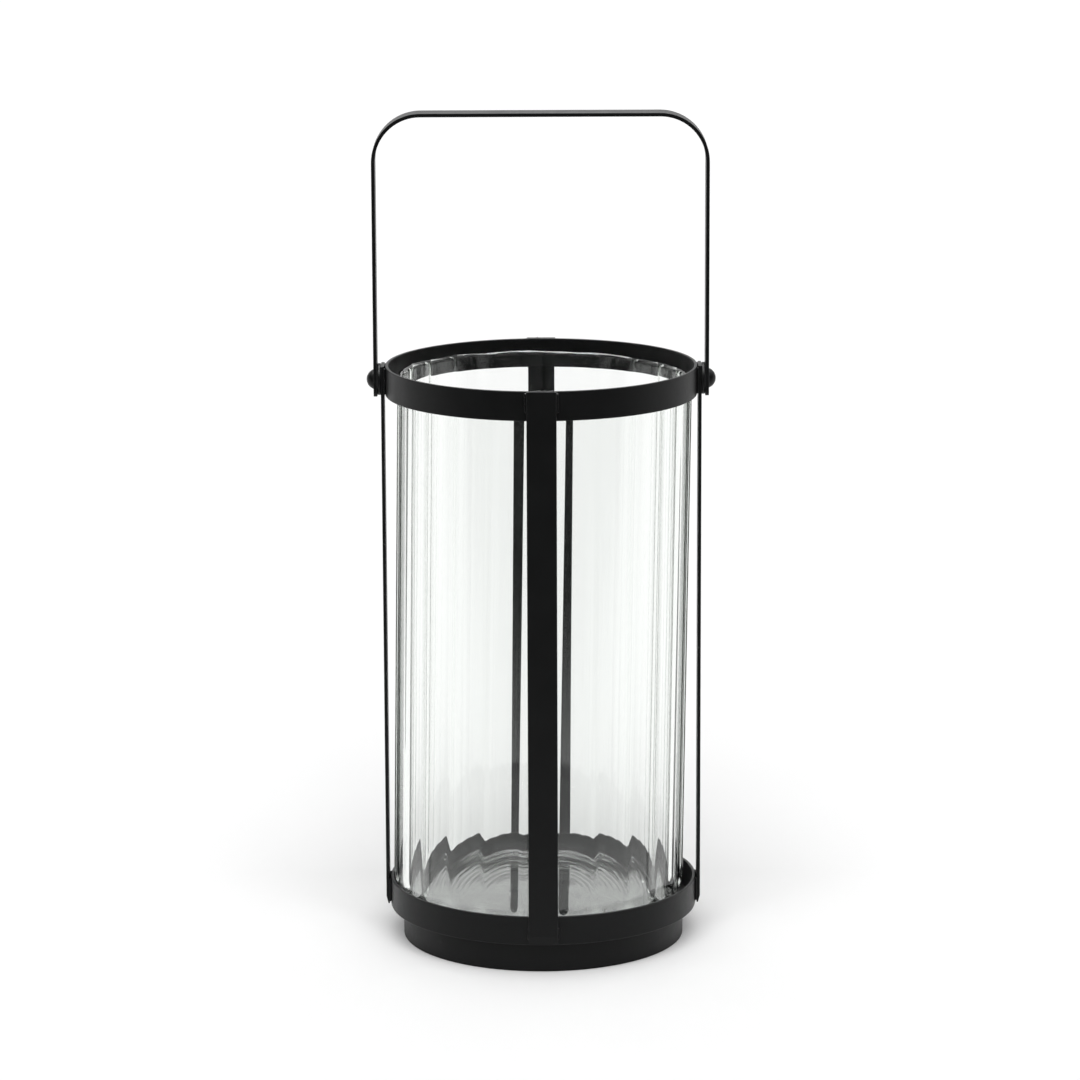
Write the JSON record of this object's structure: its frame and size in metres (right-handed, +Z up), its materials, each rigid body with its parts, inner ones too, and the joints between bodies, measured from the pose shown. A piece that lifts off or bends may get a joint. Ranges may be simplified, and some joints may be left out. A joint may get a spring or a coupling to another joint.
{
  "type": "hurricane candle lantern",
  "caption": "Open-topped round candle lantern: a black strip-steel cage on a stepped foot holds a loose fluted glass cylinder, with a swinging strip bail.",
  "frame": {"origin": "centre of the foot ring's underside, on the surface that the lantern stands on", "axes": "+Z up along the cage's axis, +X to the right along the bail's pivot line, the front strap at -Y"},
  "size_m": [0.179, 0.1642, 0.4316],
  "materials": {
    "black_steel": "satin black powder coat",
    "tray_steel": "satin black powder coat",
    "bail_steel": "satin black powder coat",
    "rivet_steel": "satin black powder coat, slightly glossier",
    "weld_metal": "black coat over rough weld beads",
    "clear_glass": "clear, fire polished, faint green at the edges"
  },
  "bodies": {
    "frame": {"top_ring": "black_steel", "front_strap": "black_steel", "back_strap": "black_steel", "left_strap": "black_steel", "right_strap": "black_steel", "tray_band": "black_steel", "tray_floor": "tray_steel", "foot_ring": "black_steel", "left_washer": "rivet_steel", "right_washer": "rivet_steel", "left_rivet": "rivet_steel", "right_rivet": "rivet_steel", "ring_welds": "weld_metal", "band_welds": "weld_metal", "floor_welds": "weld_metal", "foot_welds": "weld_metal"},
    "bail": {"bail_handle": "bail_steel"},
    "glass": {"glass_cylinder": "clear_glass"}
  },
  "joints": [
    {"name": "bail_swing", "type": "hinge", "parent": "frame", "child": "bail", "pos_m": [0, 0, 0.2945], "axis": [1, 0, 0], "range_deg": [-139, 139]},
    {"name": "glass_lift", "type": "slide", "parent": "frame", "child": "glass", "axis": [0, 0, 1], "range_m": [0, 0.12]}
  ]
}
